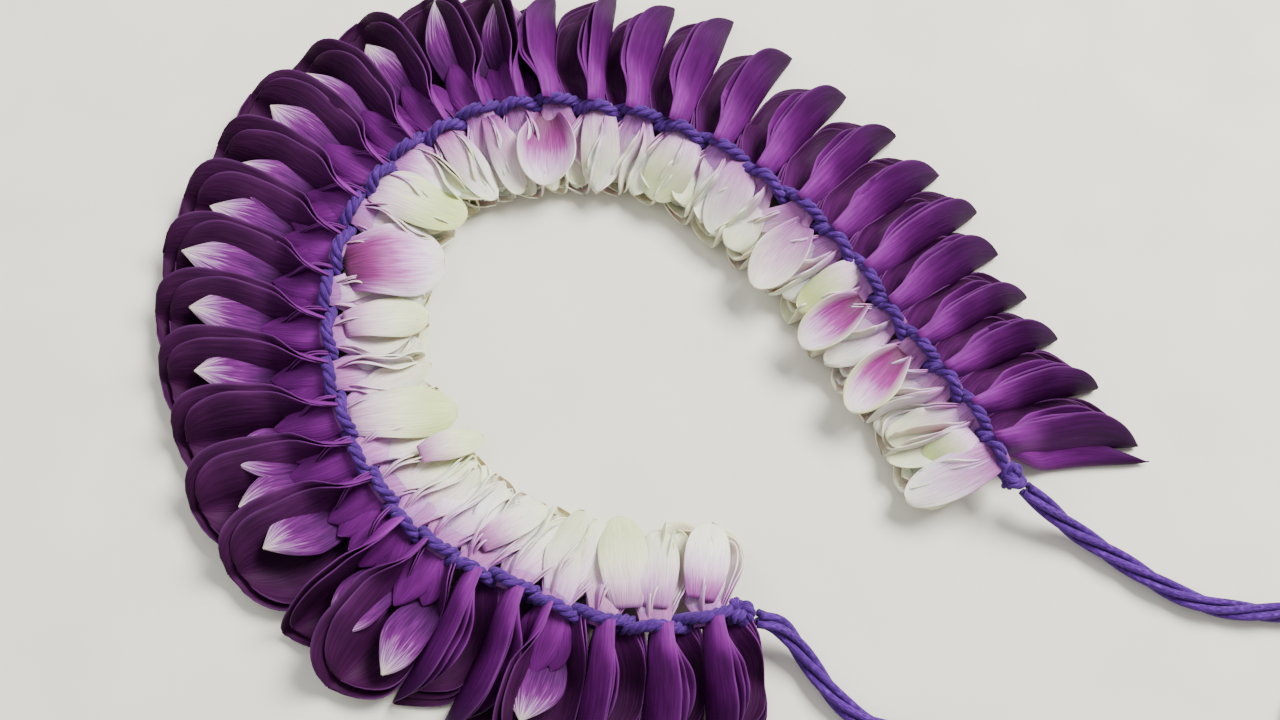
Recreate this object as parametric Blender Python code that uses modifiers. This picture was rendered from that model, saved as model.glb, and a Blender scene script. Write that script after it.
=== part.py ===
"""Orchid hair garland: bunches of folded orchid petals tied side by side on a twined thread.

The garland lies on z = 0 in an open ring, with a knot and a loose tail at each end. Petals are
worked out in millimetres in a strip along the thread: outward from it, along it and up.
"""

import math
import random

import bmesh
import bpy
import numpy as np
from mathutils import Vector

MM = 0.001
SEED = 7

# the line of the thread seen from above, clockwise from the end at the front to the end at the right
SPINE_POINTS = [
    (8.9, -37.0), (0.8, -38.4), (-8.2, -37.8), (-18.8, -33.7), (-30.7, -27.9), (-38.3, -20.0),
    (-43.5, -10.5), (-46.1, 0.6), (-45.6, 12.1), (-41.0, 23.4), (-32.9, 31.2), (-21.7, 36.2),
    (-8.8, 36.2), (4.2, 32.8), (15.7, 25.8), (26.2, 16.2), (33.6, 5.2), (42.3, -5.5), (48.7, -16.3),
]

# each bunch: place along the thread, heading and reach of its purple tips, heading and reach of
# its white petal bases, and how far it lies open to the sky
BUNCHES = [
    (2.5, -88, 19.5, 89, 13.0, 0.1),
    (9.8, -95, 20.0, 80, 15.0, 0.0),
    (17.0, -102, 20.0, 73, 14.0, 0.1),
    (23.6, -109, 21.0, 67, 14.6, 0.6),
    (29.8, -115, 21.5, 62, 13.2, 0.1),
    (35.8, -120, 21.0, 58, 13.4, 0.1),
    (41.4, -127, 23.2, 54, 14.0, 0.85),
    (46.9, -138, 22.6, 49, 14.6, 0.45),
    (52.3, -151, 23.2, 42, 13.8, 1.0),
    (57.8, -163, 24.0, 35, 13.4, 1.0),
    (63.6, -174, 24.2, 27, 14.2, 0.9),
    (69.6, -182, 24.6, 20, 13.6, 1.0),
    (75.8, -189, 25.0, 14, 14.0, 1.0),
    (82.0, -195, 25.6, 7, 14.4, 1.0),
    (88.3, -201, 25.0, -1, 14.0, 1.0),
    (94.5, -208, 24.6, -11, 13.4, 0.9),
    (100.5, -216, 24.4, -23, 12.6, 0.95),
    (106.4, -225, 24.0, -36, 12.0, 0.85),
    (112.2, -235, 24.0, -49, 12.2, 0.7),
    (118.0, -246, 23.2, -62, 12.4, 0.7),
    (123.8, -257, 22.4, -74, 12.6, 0.5),
    (129.6, -268, 21.6, -85, 12.0, 0.0),
    (135.6, -277, 22.0, -95, 11.8, 0.1),
    (141.8, -285, 22.8, -103, 11.2, 0.0),
    (148.2, -293, 23.4, -110, 10.8, 0.0),
    (155.0, -302, 22.0, -120, 11.2, 0.05),
    (162.4, -310, 22.0, -131, 11.4, 0.05),
    (169.6, -317, 21.8, -142, 12.4, 0.1),
    (176.6, -322, 22.4, -150, 12.0, 0.0),
    (183.4, -325, 23.4, -155, 11.8, 0.05),
    (189.8, -327, 22.4, -157, 12.0, 0.0),
    (195.8, -331, 21.4, -156, 12.8, 0.05),
    (201.8, -336, 21.0, -155, 12.8, 0.0),
    (207.8, -344, 22.0, -156, 13.2, 0.05),
    (213.6, -354, 24.0, -157, 13.6, 0.0),
]

PETAL_THICKNESS = 0.6
PETAL_HALF_WIDTH = 8.2
BASE_HALF_WIDTH = 5.4
CELL_FILL = 0.86
LAYER_DEPTH = 1.15
LAYER_RISE = 1.15
FLAT_TIP_HALF = 0.6
SEPAL_FROM = 0.4
KEEL_HEIGHT = 0.25
CRUMB_SIZE = 0.002

TIE_HEIGHT = 6.9
TIE_HALF_HEIGHT = 1.55
TIE_HALF_WIDTH = 1.2
TIE_HALF_LENGTH = 1.5
TIE_BLADE_SPREAD = 0.7
TIE_BLADE_RISE = 0.9
TIE_KEEL_DROP = 1.05

THREAD_RADIUS = 0.95
THREAD_OFFSET = 0.35
THREAD_GAP = 0.3

KNOT_RADIUS = 2.5
KNOT_PLACES = (-1.9, 218.0)

TAIL_DIAMETER = 3.6
COIL_RADIUS = 18.5
TAIL_A_POINTS = [
    (55.0, -21.6, 4.8), (58.8, -23.9, 2.7), (62.6, -26.2, 1.9), (66.2, -28.5, 1.8),
    (70.2, -31.0, 1.8), (74.3, -33.2, 1.8), (78.6, -34.7, 1.8), (83.2, -35.4, 1.8),
    (88.7, -35.6, 1.8), (94.8, -35.2, 1.8), (100.8, -34.8, 1.8), (106.8, -34.6, 1.8),
]
TAIL_A_COIL = (106.8, -57.0)
TAIL_B_POINTS = [
    (16.2, -38.1, 5.1), (18.7, -40.2, 3.2), (20.8, -42.8, 2.1), (22.7, -45.4, 1.8),
    (25.0, -48.1, 1.8), (28.1, -50.6, 1.8), (32.0, -52.0, 1.8), (36.4, -52.1, 1.8),
]
TAIL_B_COIL = (33.8, -74.5)

# wall angles from straight up, positive toward the bunch before: (clockwise wall at the fold and
# at its edge, counter-clockwise wall at the fold and at its edge)
WAIST_CLOSED = (0, 26, 88, 60)
WAIST_OPEN = (-8, -50, 82, 64)
BLADE_CLOSED = (8, 38, 104, 50)
BLADE_OPEN = (-12, -74, 102, 60)
BASE_WAIST = (-12, 18, 82, 50)
BASE_BLADE = (-6, 30, 86, 50)


def smooth_curve(points, per_span):
    """Points along a Catmull-Rom curve through the given ones."""
    given = [np.array(p, float) for p in points]
    given = [2 * given[0] - given[1]] + given + [2 * given[-1] - given[-2]]
    curve = []
    for a, b, c, d in zip(given, given[1:], given[2:], given[3:]):
        for step in range(per_span):
            t = step / per_span
            square, cube = t * t, t * t * t
            curve.append(
                0.5 * (2 * b + (c - a) * t + (2 * a - 5 * b + 4 * c - d) * square)
                + 0.5 * (3 * b - a - 3 * c + d) * cube
            )
    curve.append(given[-2])
    return np.array(curve)


SPINE = smooth_curve(SPINE_POINTS, 12)
SPINE_RUN = np.concatenate([[0], np.cumsum(np.linalg.norm(np.diff(SPINE, axis=0), axis=1))])


def spine_point(run):
    """The thread's place seen from above, this far along it, straight on past its ends."""
    inside = min(max(run, 0), SPINE_RUN[-1])
    point = np.array([np.interp(inside, SPINE_RUN, SPINE[:, k]) for k in (0, 1)])
    return point + (run - inside) * spine_direction(inside)


def spine_direction(run):
    middle = min(max(run, 1.5), SPINE_RUN[-1] - 1.5)
    ends = (middle - 1.5, middle + 1.5)
    ahead = [np.array([np.interp(e, SPINE_RUN, SPINE[:, k]) for k in (0, 1)]) for e in ends]
    step = ahead[1] - ahead[0]
    return step / np.linalg.norm(step)


def smoothstep(low, high, value):
    t = min(max((value - low) / (high - low), 0), 1)
    return t * t * (3 - 2 * t)


def mix(a, b, share):
    return tuple(p + (q - p) * share for p, q in zip(a, b))


def keel(index, radial):
    """Where a bunch's fold runs, this far outward (positive) or inward from the thread."""
    place, out_heading, _, in_heading, _, _ = BUNCHES[index]
    heading = math.radians(out_heading if radial > 0 else in_heading)
    return spine_point(place) + abs(radial) * np.array([math.cos(heading), math.sin(heading)])


def across_cell(index, radial, offset):
    """A point beside the fold, squeezed so that it stays within the bunch's own room."""
    here = keel(index, radial)
    step = -1 if offset > 0 else 1
    other = index + step
    if 0 <= other < len(BUNCHES):
        beside = keel(other, radial) - here
    else:
        beside = here - keel(index - step, radial)
    room = np.linalg.norm(beside)
    share = abs(offset) / (room * CELL_FILL)
    if share > 0.6:
        share = 0.6 + 0.4 * math.tanh((share - 0.6) / 0.4)
    return here + beside * CELL_FILL * share


def wall_offset(start, end, length):
    """Sideways and upward run of a wall whose angle turns evenly from start to end."""
    steps = 6
    angles = [math.radians(start + (end - start) * (k + 0.5) / steps) for k in range(steps)]
    return (
        length * sum(math.sin(a) for a in angles) / steps,
        length * sum(math.cos(a) for a in angles) / steps,
    )


def petal_width(share):
    """A purple petal's half width over its length, widest past the middle, as a share."""
    rise = 0.42 + 0.58 * math.sin(math.pi / 2 * min(1, share / 0.6))
    fall = (1 - max(0, (share - 0.6) / 0.4) ** 2.2) ** 0.8
    return rise * max(fall, 0.12)


def base_width(share):
    """A petal's white base, broad beside the thread and cut off blunt."""
    return 0.75 + 0.25 * math.sin(math.pi * min(1, share / 0.7)) - 0.35 * share ** 3


def sepal_width(share):
    """A sepal's half width over its length, tapered to a blunt point, as a share."""
    if share < 0.55:
        return 0.3 + 0.7 * math.sin(math.pi * share ** 0.9)
    return max(1.28 * (1 - share) ** 0.7, 0.16)


class Blade:
    """One petal or sepal of a bunch: its outline, and the layer of the fold that it lies in."""

    def __init__(self, index, kind):
        self.index = index
        self.kind = kind
        _, _, out_reach, _, in_reach, self.openness = BUNCHES[index]
        draw = random.Random(SEED * 100 + index)
        self.turn = draw.uniform(-3, 3)
        self.width = draw.uniform(0.95, 1.04)
        self.base_turn = draw.uniform(-5, 5)
        self.out_reach = out_reach * OUT_SHARE[kind]
        self.in_reach = in_reach * IN_SHARE[kind]
        self.layer = 0 if kind == "outer_petal" else 1

    def angles(self, radial):
        away = smoothstep(3.0, 10.0, abs(radial))
        if radial > 0:
            closed = mix(WAIST_CLOSED, BLADE_CLOSED, away)
            opened = mix(WAIST_OPEN, BLADE_OPEN, away)
            return [angle + self.turn for angle in mix(closed, opened, self.openness)]
        return [angle + self.base_turn for angle in mix(BASE_WAIST, BASE_BLADE, away)]

    def fold_half_width(self, radial):
        if radial > 0:
            share = min(radial / BUNCHES[self.index][2], 1)
            return PETAL_HALF_WIDTH * petal_width(share) * self.width
        share = min(-radial / BUNCHES[self.index][4], 1)
        return BASE_HALF_WIDTH * base_width(share)

    def in_fold(self, radial, place, depth):
        """Offset of a point in the fold: place runs from -1, the outermost petal's clockwise
        edge, to 1, and depth is how far in from that petal's wall it lies."""
        angles = self.angles(radial)
        half = self.fold_half_width(radial)
        spread = math.radians(angles[2] - angles[0]) / 2
        if place == 0:
            middle = math.radians(angles[2] + angles[0]) / 2
            away = depth / math.sin(spread)
            return away * math.sin(middle), away * math.cos(middle)
        wall = 0 if place < 0 else 2
        nearest = depth / math.tan(spread)
        length = nearest + abs(place) * max(half - nearest, half / 2)
        start, edge = angles[wall], angles[wall + 1]
        here = start + (edge - start) * min(length / half, 1)
        side, up = wall_offset(start, here, length)
        inward = math.radians(here + (90 if place < 0 else -90))
        return side + depth * math.sin(inward), up + depth * math.cos(inward)

    def across_fold(self, radial, across):
        """Sideways and upward offset of the blade where it lies free of the tie."""
        depth = LAYER_DEPTH * self.layer
        share = abs(radial) / (self.out_reach if radial > 0 else self.in_reach)
        if self.kind == "outer_petal":
            return self.in_fold(radial, across, depth)
        if self.kind == "inner_petal" or radial < 0:
            folded = self.in_fold(radial, across * 0.9 * self.own_share(radial), depth)
            fold = self.in_fold(radial, 0, depth)
            angles = self.angles(radial)
            level = math.radians((angles[0] + angles[2]) / 2 + 90)
            half = FLAT_TIP_HALF * across
            flat = (fold[0] + half * math.sin(level), fold[1] + half * math.cos(level))
            return mix(folded, flat, smoothstep(0.88, 1, share))
        opened = self.openness
        middle = -0.78 + 0.78 * opened
        half = (0.30 + 0.2 * opened) * sepal_width(share)
        ends = [self.in_fold(radial, middle + side * half, depth) for side in (-1, 1)]
        t = (across + 1) / 2
        bulge = 0.5 * opened * half * PETAL_HALF_WIDTH * (1 - across * across)
        return ends[0][0] * (1 - t) + ends[1][0] * t, ends[0][1] * (1 - t) + ends[1][1] * t + bulge

    def own_share(self, radial):
        """How much narrower a shorter petal is here than the outermost one."""
        own = self.out_reach if radial > 0 else self.in_reach
        share = min(abs(radial) / own, 1)
        whole = self.fold_half_width(radial)
        full = PETAL_HALF_WIDTH * petal_width(share) if radial > 0 else BASE_HALF_WIDTH * base_width(share)
        return min(full / whole, 1)

    def point(self, radial, across):
        """A point of the blade: across runs from -1, its clockwise edge, to 1."""
        free = smoothstep(1.7, 4.8, abs(radial))
        side, up = self.across_fold(radial, across)
        height = KEEL_HEIGHT + (TIE_HEIGHT - 1.6) * (1 - smoothstep(1.5, 8.5, abs(radial)))
        tie_keel = TIE_HEIGHT + LAYER_RISE * self.layer - TIE_KEEL_DROP
        tie_rise = 0.3 if self.kind == "sepal" else TIE_BLADE_RISE * abs(across)
        at_tie = (TIE_BLADE_SPREAD * across, tie_keel + tie_rise)
        side = at_tie[0] + (side - at_tie[0]) * free
        up = at_tie[1] + (height + up - at_tie[1]) * free
        spot = across_cell(self.index, radial, side)
        return (spot[0], spot[1], max(up, KEEL_HEIGHT))


OUT_SHARE = {"outer_petal": 1.0, "inner_petal": 0.93, "sepal": 0.84}
IN_SHARE = {"outer_petal": 1.0, "inner_petal": 0.9, "sepal": 0.8}
NEAR_STATIONS = (-4.8, -1.7, 1.7, 4.8)
FAR_STATIONS = {"outer_petal": (0.5, 0.8), "inner_petal": (0.5, 0.8), "sepal": (0.5,)}
ACROSS = {"outer_petal": (-1, -0.5, 0, 0.5, 1), "inner_petal": (-1, 0, 1), "sepal": (-1, 0, 1)}


def evaluated_mesh(obj):
    """The object's mesh with its modifiers applied."""
    bpy.context.view_layer.update()
    seen = obj.evaluated_get(bpy.context.evaluated_depsgraph_get())
    return bpy.data.meshes.new_from_object(seen)


def add_object(name, mesh, collection):
    obj = bpy.data.objects.new(name, mesh)
    collection.objects.link(obj)
    return obj


def blade_object(name, blade, collection):
    """A thin petal, bent from a flat grid and thickened, with both faces split alike."""
    whole_reach = BUNCHES[blade.index][2]
    radials = [-blade.in_reach, *NEAR_STATIONS]
    radials += [share * whole_reach for share in FAR_STATIONS[blade.kind]] + [blade.out_reach]
    across = ACROSS[blade.kind]
    grid = bmesh.new()
    bmesh.ops.create_grid(grid, x_segments=len(radials) - 1, y_segments=len(across) - 1, size=0.5)
    grid.verts.ensure_lookup_table()
    for vert in grid.verts:
        row = round((vert.co.x + 0.5) * (len(radials) - 1))
        column = round((vert.co.y + 0.5) * (len(across) - 1))
        vert.co = Vector(blade.point(radials[row], across[column])) * MM
    bmesh.ops.triangulate(grid, faces=grid.faces[:], quad_method="SHORT_EDGE")
    mesh = bpy.data.meshes.new(name)
    grid.to_mesh(mesh)
    grid.free()
    obj = add_object(name, mesh, collection)
    thicken = obj.modifiers.new("thickness", "SOLIDIFY")
    thicken.thickness = PETAL_THICKNESS * MM
    thicken.offset = 0
    solid = evaluated_mesh(obj)
    for vert in solid.vertices:
        vert.co.z = max(vert.co.z, 0)
    bpy.data.objects.remove(obj)
    return add_object(name, solid, collection)


def tie_object(name, index, collection):
    """The squeezed waist that a bunch's petals meet in."""
    place = BUNCHES[index][0]
    centre = spine_point(place)
    body = bmesh.new()
    bmesh.ops.create_cone(
        body, cap_ends=True, segments=8, radius1=1, radius2=1, depth=2 * TIE_HALF_LENGTH
    )
    direction = spine_direction(place)
    outward = Vector((direction[1], -direction[0], 0))
    sideways = Vector((direction[0], direction[1], 0))
    for vert in body.verts:
        flat = vert.co.copy()
        vert.co = Vector((centre[0], centre[1], TIE_HEIGHT))
        vert.co += flat.z * outward + flat.x * TIE_HALF_WIDTH * sideways
        vert.co.z += flat.y * TIE_HALF_HEIGHT
        vert.co *= MM
    mesh = bpy.data.meshes.new(name)
    body.to_mesh(mesh)
    body.free()
    return add_object(name, mesh, collection)


def largest_shell(mesh):
    """The mesh without the sealed hollows and crumbs that a union leaves, and without slivers."""
    body = bmesh.new()
    body.from_mesh(mesh)
    bmesh.ops.dissolve_degenerate(body, edges=body.edges[:], dist=CRUMB_SIZE * MM)
    bmesh.ops.triangulate(body, faces=body.faces[:])
    left, shells = set(body.verts), []
    while left:
        reached = {left.pop()}
        edge = list(reached)
        while edge:
            vert = edge.pop()
            new = {link.other_vert(vert) for link in vert.link_edges} & left
            left.difference_update(new)
            reached.update(new)
            edge.extend(new)
        shells.append(reached)
    kept = max(shells, key=len)
    bmesh.ops.delete(body, geom=[vert for vert in body.verts if vert not in kept], context="VERTS")
    body.to_mesh(mesh)
    body.free()
    return mesh


def fuse(name, first, others, collection):
    """One closed body from overlapping ones, by a union on a collection of them."""
    joined = bpy.data.collections.new(name + "_pieces")
    for obj in others:
        joined.objects.link(obj)
        collection.objects.unlink(obj)
    union = first.modifiers.new("union", "BOOLEAN")
    union.operation = "UNION"
    union.operand_type = "COLLECTION"
    union.collection = joined
    union.solver = "MANIFOLD"
    mesh = largest_shell(evaluated_mesh(first))
    for obj in others + [first]:
        bpy.data.objects.remove(obj)
    bpy.data.collections.remove(joined)
    mesh.name = name
    return add_object(name, mesh, collection)


def material(name, colour, roughness):
    made = bpy.data.materials.new(name)
    made.use_nodes = True
    surface = made.node_tree.nodes["Principled BSDF"]
    surface.inputs["Base Color"].default_value = (*colour, 1)
    surface.inputs["Roughness"].default_value = roughness
    surface.inputs["Metallic"].default_value = 0
    return made


def petal_bunch(index, collection):
    name = f"petal_bunch_{index + 1:02d}"
    tie = tie_object(name + "_tie", index, collection)
    nested = "sepal" if BUNCHES[index][5] > SEPAL_FROM else "inner_petal"
    blades = [
        blade_object(f"{name}_{kind}", Blade(index, kind), collection)
        for kind in ("outer_petal", nested)
    ]
    obj = fuse(name, tie, blades, collection)
    obj.data.materials.clear()
    obj.data.materials.append(material(name + "_petals", (0.17, 0.03, 0.19), 0.45))
    return obj


def tube(name, points, radius, collection, sides=8):
    """A closed tube along the given points."""
    curve = bpy.data.curves.new(name, "CURVE")
    curve.dimensions = "3D"
    curve.bevel_depth = radius * MM
    curve.bevel_resolution = sides // 2 - 2
    curve.use_fill_caps = True
    spline = curve.splines.new("POLY")
    spline.points.add(len(points) - 1)
    for slot, point in zip(spline.points, points):
        slot.co = (point[0] * MM, point[1] * MM, point[2] * MM, 1)
    return add_object(name, curve, collection)


def as_mesh(obj, collection):
    """A curve object's tube as a closed mesh object, so that it can be joined."""
    mesh = evaluated_mesh(obj)
    welded = bmesh.new()
    welded.from_mesh(mesh)
    bmesh.ops.remove_doubles(welded, verts=welded.verts[:], dist=0.00001)
    bmesh.ops.triangulate(welded, faces=welded.faces[:])
    if welded.calc_volume(signed=True) < 0:
        bmesh.ops.reverse_faces(welded, faces=welded.faces[:])
    welded.to_mesh(mesh)
    welded.free()
    name = obj.name
    bpy.data.objects.remove(obj)
    return add_object(name, mesh, collection)


def strand_points(side):
    """One strand of the twined thread, over one bunch and under the next."""
    places = [row[0] for row in BUNCHES]
    gaps = [b - a for a, b in zip(places, places[1:])]
    gaps = [gaps[0]] + gaps + [gaps[-1]]
    rise = TIE_HALF_HEIGHT + THREAD_GAP + THREAD_RADIUS
    points = []

    def add(place, height):
        along = spine_direction(place)
        spot = spine_point(place) + side * THREAD_OFFSET * np.array([-along[1], along[0]])
        points.append((spot[0], spot[1], height))

    add(KNOT_PLACES[0], TIE_HEIGHT)
    for index, place in enumerate(places):
        way = side if index % 2 else -side
        for step in (-0.24 * gaps[index], 0.24 * gaps[index + 1]):
            add(place + step, TIE_HEIGHT + way * rise)
    add(KNOT_PLACES[1], TIE_HEIGHT)
    return points


def binding_thread(collection):
    """Two strands twined over and under the bunches, and the knots that join their ends."""
    pieces = []
    for side in (-1, 1):
        strand = tube(f"strand_{side + 1}", strand_points(side), THREAD_RADIUS, collection, sides=6)
        pieces.append(as_mesh(strand, collection))
    for place in KNOT_PLACES:
        spot = spine_point(place)
        body = bmesh.new()
        bmesh.ops.create_uvsphere(body, u_segments=8, v_segments=6, radius=KNOT_RADIUS * MM)
        for vert in body.verts:
            vert.co += Vector((spot[0], spot[1], TIE_HEIGHT)) * MM
        mesh = bpy.data.meshes.new("knot")
        body.to_mesh(mesh)
        body.free()
        pieces.append(add_object("knot", mesh, collection))
    obj = fuse("binding_thread", pieces[0], pieces[1:], collection)
    obj.data.materials.clear()
    obj.data.materials.append(material("violet_thread", (0.10, 0.05, 0.30), 0.7))
    return obj


def free_tail(name, knot_place, points, coil_centre, collection):
    """A tail of the thread down to the table, and one turn of its spare length."""
    knot = np.array([*spine_point(knot_place), TIE_HEIGHT])
    away = np.array(points[0]) - knot
    start = knot + away / np.linalg.norm(away) * (KNOT_RADIUS + THREAD_GAP)
    route = smooth_curve([start] + points, 3)
    tail = tube(name, route, TAIL_DIAMETER / 2, collection)
    bpy.context.view_layer.objects.active = tail
    profile = bmesh.new()
    bmesh.ops.create_circle(profile, segments=8, radius=TAIL_DIAMETER / 2 * MM)
    for vert in profile.verts:
        vert.co = Vector((vert.co.x + COIL_RADIUS * MM, 0, vert.co.y))
    mesh = bpy.data.meshes.new(name + "_coil")
    profile.to_mesh(mesh)
    profile.free()
    coil = add_object(name + "_coil", mesh, collection)
    coil.location = Vector((coil_centre[0], coil_centre[1], TAIL_DIAMETER / 2)) * MM
    turn = coil.modifiers.new("turn", "SCREW")
    turn.steps = turn.render_steps = 24
    turn.use_merge_vertices = True
    turn.merge_threshold = 0.0001
    for obj in (tail, coil):
        obj.data.materials.append(material(name + "_thread", (0.10, 0.05, 0.30), 0.7))
    return tail, coil


def main():
    for obj in list(bpy.data.objects):
        bpy.data.objects.remove(obj)
    garland = bpy.data.collections.new("orchid_hair_garland")
    bpy.context.scene.collection.children.link(garland)
    for index in range(len(BUNCHES)):
        petal_bunch(index, garland)
    binding_thread(garland)
    free_tail("tail_a", KNOT_PLACES[1], TAIL_A_POINTS, TAIL_A_COIL, garland)
    free_tail("tail_b", KNOT_PLACES[0], TAIL_B_POINTS, TAIL_B_COIL, garland)


main()
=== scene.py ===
"""Looks of the orchid hair garland: petals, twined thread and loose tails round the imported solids.

Lengths are in millimetres until a mesh is made. Petals are worked out in the strip along the
thread that part.py uses: outward from the thread, along it and up.
"""

import math
import random
from collections import namedtuple

import bpy
import numpy as np
from mathutils import Matrix, Vector


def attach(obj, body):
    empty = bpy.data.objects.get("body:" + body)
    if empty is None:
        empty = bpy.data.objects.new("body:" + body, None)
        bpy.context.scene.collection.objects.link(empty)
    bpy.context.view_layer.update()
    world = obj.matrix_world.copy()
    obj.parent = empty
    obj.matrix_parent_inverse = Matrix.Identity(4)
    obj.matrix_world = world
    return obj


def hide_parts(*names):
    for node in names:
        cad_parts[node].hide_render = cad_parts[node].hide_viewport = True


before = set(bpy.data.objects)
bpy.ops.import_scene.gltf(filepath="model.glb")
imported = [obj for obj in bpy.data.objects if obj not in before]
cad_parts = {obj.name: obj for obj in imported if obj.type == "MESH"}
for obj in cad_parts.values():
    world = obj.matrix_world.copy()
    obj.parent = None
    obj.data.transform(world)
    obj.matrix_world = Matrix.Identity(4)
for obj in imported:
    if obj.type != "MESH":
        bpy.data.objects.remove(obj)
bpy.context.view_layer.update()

MM = 0.001

# the same named values as part.py

SPINE_POINTS = [
    (8.9, -37.0), (0.8, -38.4), (-8.2, -37.8), (-18.8, -33.7), (-30.7, -27.9), (-38.3, -20.0),
    (-43.5, -10.5), (-46.1, 0.6), (-45.6, 12.1), (-41.0, 23.4), (-32.9, 31.2), (-21.7, 36.2),
    (-8.8, 36.2), (4.2, 32.8), (15.7, 25.8), (26.2, 16.2), (33.6, 5.2), (42.3, -5.5), (48.7, -16.3),
]
# each bunch: place along the thread, heading and reach of its purple tips, heading and reach of
# its white petal bases, and how far it lies open to the sky
BUNCHES = [
    (2.5, -88, 19.5, 89, 13.0, 0.1), (9.8, -95, 20.0, 80, 15.0, 0.0),
    (17.0, -102, 20.0, 73, 14.0, 0.1), (23.6, -109, 21.0, 67, 14.6, 0.6),
    (29.8, -115, 21.5, 62, 13.2, 0.1), (35.8, -120, 21.0, 58, 13.4, 0.1),
    (41.4, -127, 23.2, 54, 14.0, 0.85), (46.9, -138, 22.6, 49, 14.6, 0.45),
    (52.3, -151, 23.2, 42, 13.8, 1.0), (57.8, -163, 24.0, 35, 13.4, 1.0),
    (63.6, -174, 24.2, 27, 14.2, 0.9), (69.6, -182, 24.6, 20, 13.6, 1.0),
    (75.8, -189, 25.0, 14, 14.0, 1.0), (82.0, -195, 25.6, 7, 14.4, 1.0),
    (88.3, -201, 25.0, -1, 14.0, 1.0), (94.5, -208, 24.6, -11, 13.4, 0.9),
    (100.5, -216, 24.4, -23, 12.6, 0.95), (106.4, -225, 24.0, -36, 12.0, 0.85),
    (112.2, -235, 24.0, -49, 12.2, 0.7), (118.0, -246, 23.2, -62, 12.4, 0.7),
    (123.8, -257, 22.4, -74, 12.6, 0.5), (129.6, -268, 21.6, -85, 12.0, 0.0),
    (135.6, -277, 22.0, -95, 11.8, 0.1), (141.8, -285, 22.8, -103, 11.2, 0.0),
    (148.2, -293, 23.4, -110, 10.8, 0.0), (155.0, -302, 22.0, -120, 11.2, 0.05),
    (162.4, -310, 22.0, -131, 11.4, 0.05), (169.6, -317, 21.8, -142, 12.4, 0.1),
    (176.6, -322, 22.4, -150, 12.0, 0.0), (183.4, -325, 23.4, -155, 11.8, 0.05),
    (189.8, -327, 22.4, -157, 12.0, 0.0), (195.8, -331, 21.4, -156, 12.8, 0.05),
    (201.8, -336, 21.0, -155, 12.8, 0.0), (207.8, -344, 22.0, -156, 13.2, 0.05),
    (213.6, -354, 24.0, -157, 13.6, 0.0),
]
TIE_HEIGHT = 6.9
THREAD_GAP = 0.3
KNOT_RADIUS = 2.5
KNOT_PLACES = (-1.9, 218.0)
TAIL_DIAMETER = 3.6
COIL_RADIUS = 18.5
TAIL_A_POINTS = [
    (55.0, -21.6, 4.8), (58.8, -23.9, 2.7), (62.6, -26.2, 1.9), (66.2, -28.5, 1.8),
    (70.2, -31.0, 1.8), (74.3, -33.2, 1.8), (78.6, -34.7, 1.8), (83.2, -35.4, 1.8),
    (88.7, -35.6, 1.8), (94.8, -35.2, 1.8), (100.8, -34.8, 1.8), (106.8, -34.6, 1.8),
]
TAIL_A_COIL = (106.8, -57.0)
TAIL_B_POINTS = [
    (16.2, -38.1, 5.1), (18.7, -40.2, 3.2), (20.8, -42.8, 2.1), (22.7, -45.4, 1.8),
    (25.0, -48.1, 1.8), (28.1, -50.6, 1.8), (32.0, -52.0, 1.8), (36.4, -52.1, 1.8),
]
TAIL_B_COIL = (33.8, -74.5)

# the photograph's camera
CAMERA_AT = (-17.364, -56.495, 209.433)
CAMERA_RIGHT = (0.99739, 0.0, 0.07222)
CAMERA_UP = (-0.01882, 0.96543, 0.25999)
CAMERA_LENS = 42.19
SENSOR_WIDTH = 36.0

# half the length of thread over which its heading is taken
HEADING_SPAN = 1.5

# how wide, thick and closely folded the petals are
OUTER_HALF_WIDTH = 9.8
INNER_HALF_WIDTH = 6.2
PETAL_THICKNESS = 0.34
FOLD_RADIUS = 1.3
LAYER_GAP = 0.9

# how much of the room up to the next bunch a petal may fill, and what share it takes freely
CELL_FILL = 1.02
FREE_SHARE = 0.6

# a petal's points lie closer together near its tip and its rim, where it also thins out
PETAL_ROWS = 26
PETAL_COLUMNS = 17
TIP_CROWDING = 1.35
RIM_CROWDING = 0.93
RIM_THINNING = 0.55
RIM_SHARPNESS = 6
TIP_THINS_FROM = 0.9
NARROWEST_TIP = 0.02

# how far from the thread each change along a petal begins and ends
WIDENING = (0, 4.0)
OPENING = (2.5, 10.0)
NESTING = (0.5, 7)
LEANING = (0, 8)
FALLING = (1.2, 9.0)

# at the thread: a petal's share of its width and of its turn, and the least opening of its fold
WIDTH_AT_TIE = 0.85
TURN_AT_TIE = 0.3
LEAST_SPREAD = 60

# added to each distance from the thread, so that an outward petal's first row heads outward
OUTWARD_NUDGE = 0.001

# the fold's height along the floor, and how much higher it passes the thread
FOLD_HEIGHT = 0.35
FOLD_RISE = TIE_HEIGHT - 2.3

# petals are eased to stay above the first height and near the second, over the third
FLOOR_CLEAR = 0.22
TOP_FROM = 9.4
EASING = 0.8

# waves of a petal's rim and sway of its fold, in radians over its length, and where they grow
LONG_WAVE = 9
SHORT_WAVE = 21
SWAY = 7
WAVE_GROWS = (0.15, 0.5)
SWAY_GROWS = (0.2, 0.9)
SPOON_GROWS = (0.7, 1.0)


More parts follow.
